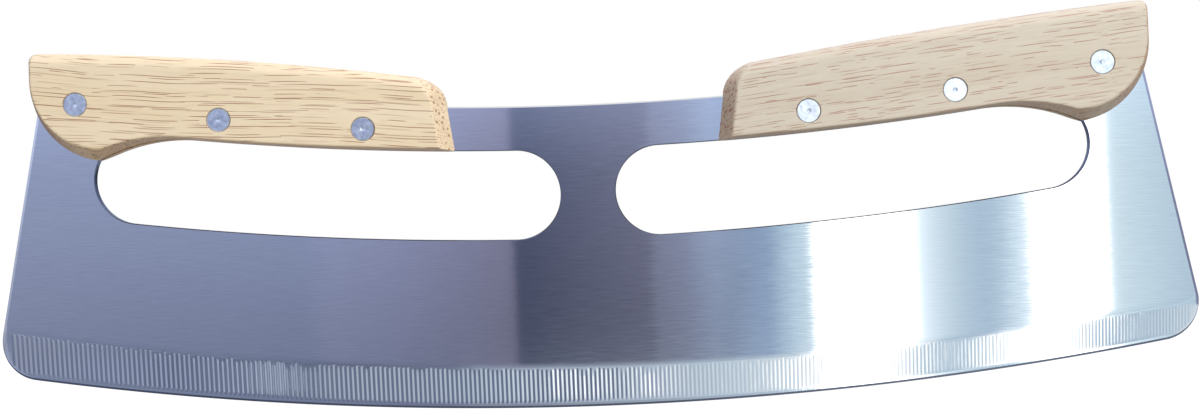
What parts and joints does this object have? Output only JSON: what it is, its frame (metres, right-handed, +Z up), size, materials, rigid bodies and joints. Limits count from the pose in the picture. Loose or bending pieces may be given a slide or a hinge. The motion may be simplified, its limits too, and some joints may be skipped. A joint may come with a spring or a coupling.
{
  "type": "rocking pizza knife",
  "caption": "Wide curved rocking knife for pizza: steel blade with a fluted ground edge, hand slots, and riveted wooden scales that form a handle at each end.",
  "frame": {"origin": "lowest point of the cutting edge, in the middle of the blade's width and thickness", "axes": "+X along the blade to the right seen from the front, +Y through the blade to the rear, +Z up"},
  "size_m": [0.3556, 0.016, 0.1131],
  "materials": {
    "blade_steel": "stainless steel brushed along the blade, with a cross-ground edge",
    "handle_wood": "sanded and oiled pale hardwood with fine brown vessel lines",
    "rivet_aluminium": "turned and pressed, satin"
  },
  "bodies": {
    "root": {"blade": "blade_steel", "left_front_scale": "handle_wood", "left_rear_scale": "handle_wood", "left_inner_rivet_post": "rivet_aluminium", "left_inner_rivet_sleeve": "rivet_aluminium", "left_middle_rivet_post": "rivet_aluminium", "left_middle_rivet_sleeve": "rivet_aluminium", "left_outer_rivet_post": "rivet_aluminium", "left_outer_rivet_sleeve": "rivet_aluminium", "right_front_scale": "handle_wood", "right_rear_scale": "handle_wood", "right_inner_rivet_post": "rivet_aluminium", "right_inner_rivet_sleeve": "rivet_aluminium", "right_middle_rivet_post": "rivet_aluminium", "right_middle_rivet_sleeve": "rivet_aluminium", "right_outer_rivet_post": "rivet_aluminium", "right_outer_rivet_sleeve": "rivet_aluminium"}
  },
  "joints": []
}
